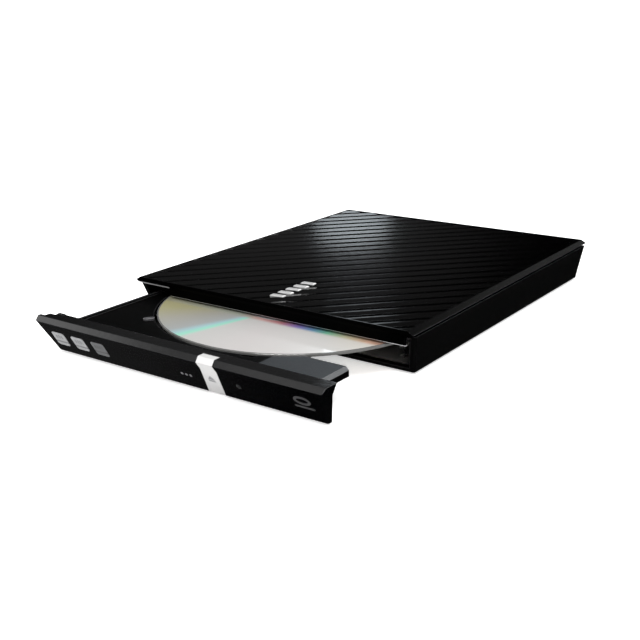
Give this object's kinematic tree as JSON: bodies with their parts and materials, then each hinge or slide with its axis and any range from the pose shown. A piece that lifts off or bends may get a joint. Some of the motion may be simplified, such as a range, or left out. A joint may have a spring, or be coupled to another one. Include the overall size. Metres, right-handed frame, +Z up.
{
  "type": "external optical drive",
  "caption": "Slim external optical drive with a ridged lid, a slanted front bezel and a sliding tray that carries a disc on its spindle.",
  "frame": {"origin": "bottom centre of the box round the whole drive with its tray part way out", "axes": "+X to the right seen from the front, +Y to the rear along the tray's travel, +Z up"},
  "size_m": [0.142, 0.2178, 0.02],
  "materials": {
    "gloss_black": "high gloss black moulding",
    "ridged_black": "high gloss black with fine diagonal ridges",
    "satin_black": "satin black moulding",
    "silver_button": "satin silver",
    "silver_print": "light silver print",
    "grey_print": "dark grey print",
    "emblem_silver": "bright plated",
    "foot_rubber": "matt black rubber",
    "screw_steel": "zinc plated",
    "sheet_steel": "galvanised sheet",
    "rail_steel": "polished steel strip",
    "guide_plastic": "black acetal",
    "board_green": "printed circuit board",
    "chip_black": "moulded chips",
    "connector_black": "moulded connector",
    "socket_steel": "tinned shell",
    "lens_clear": "clear light guide",
    "led_white": "white lamp bodies",
    "disc_mirror": "mirror coated polycarbonate",
    "hub_plastic": "black turntable",
    "claw_plastic": "white claws",
    "coil_copper": "wound stator",
    "sled_alloy": "cast alloy",
    "lens_holder_black": "moulded holder",
    "lens_glass": "coated lens",
    "latch_plastic": "acetal lever",
    "switch_body": "switch housing"
  },
  "bodies": {
    "housing": {"top_cover": "ridged_black", "bottom_case": "satin_black", "top_badge": "emblem_silver", "rubber_feet": "foot_rubber", "case_screws": "screw_steel", "drive_chassis": "sheet_steel", "drive_top_plate": "sheet_steel", "chassis_screws": "screw_steel", "guide_channel_left": "guide_plastic", "guide_channel_right": "guide_plastic", "drive_pcb": "board_green", "drive_pcb_parts": "chip_black", "drive_connector": "connector_black", "bridge_board": "board_green", "bridge_parts": "chip_black", "bridge_connector": "connector_black", "board_screws": "screw_steel", "usb_socket": "socket_steel", "dc_jack": "connector_black"},
    "tray_unit": {"tray": "satin_black", "disc_tabs": "claw_plastic", "tray_under_cover": "sheet_steel", "tray_screws": "screw_steel", "bezel": "gloss_black", "status_lens": "lens_clear", "front_marks": "silver_print", "switch_board": "board_green", "tact_switch": "switch_body", "status_leds": "led_white", "motor_base": "sheet_steel", "spindle_stator": "coil_copper", "guide_rods": "rail_steel", "feed_motor": "screw_steel", "feed_bearing": "guide_plastic"},
    "button": {"eject_button": "silver_button", "button_symbol": "grey_print"},
    "spindle": {"spindle_hub": "hub_plastic", "hub_claws": "claw_plastic", "disc": "disc_mirror"},
    "rail_left": {"inner_rail_left": "rail_steel"},
    "rail_right": {"inner_rail_right": "rail_steel"},
    "sled": {"pickup_sled": "sled_alloy", "laser_unit": "chip_black"},
    "lens": {"lens_holder": "lens_holder_black", "objective_lens": "lens_glass"},
    "screw": {"lead_screw": "rail_steel"},
    "latch": {"latch_lever": "latch_plastic"}
  },
  "joints": [
    {"name": "tray_slide", "type": "slide", "parent": "housing", "child": "tray_unit", "axis": [0, -1, 0], "range_m": [-0.0477, 0.082]},
    {"name": "rail_left_slide", "type": "slide", "parent": "housing", "child": "rail_left", "axis": [0, -1, 0], "range_m": [-0.02385, 0.041]},
    {"name": "rail_right_slide", "type": "slide", "parent": "housing", "child": "rail_right", "axis": [0, -1, 0], "range_m": [-0.02385, 0.041]},
    {"name": "button_press", "type": "slide", "parent": "tray_unit", "child": "button", "axis": [0, 1, 0], "range_m": [0, 0.0006], "stiffness_N_per_m": 1500},
    {"name": "disc_spin", "type": "hinge", "parent": "tray_unit", "child": "spindle", "pos_m": [0.0026, -0.0296, 0.0088], "axis": [0, 0, 1], "continuous": true},
    {"name": "sled_travel", "type": "slide", "parent": "tray_unit", "child": "sled", "axis": [-0.7071, -0.7071, 0], "range_m": [-0.012, 0.018]},
    {"name": "screw_turn", "type": "hinge", "parent": "tray_unit", "child": "screw", "pos_m": [-0.00518, -0.07556, 0.00715], "axis": [-0.7071, -0.7071, 0], "range_deg": [-1440, 2160]},
    {"name": "lens_focus", "type": "slide", "parent": "sled", "child": "lens", "axis": [0, 0, 1], "range_m": [-0.00025, 0.0003], "stiffness_N_per_m": 60},
    {"name": "latch_turn", "type": "hinge", "parent": "tray_unit", "child": "latch", "pos_m": [0.0455, -0.0806, 0.0059], "axis": [0, 0, -1], "range_deg": [0, 12], "stiffness_Nm_per_rad": 0.002}
  ],
  "couplings": [
    {"joint": "rail_left_slide", "follows": "tray_slide", "ratio": 0.5},
    {"joint": "rail_right_slide", "follows": "tray_slide", "ratio": 0.5},
    {"joint": "screw_turn", "follows": "sled_travel", "rad_per_m": 2094.4}
  ]
}
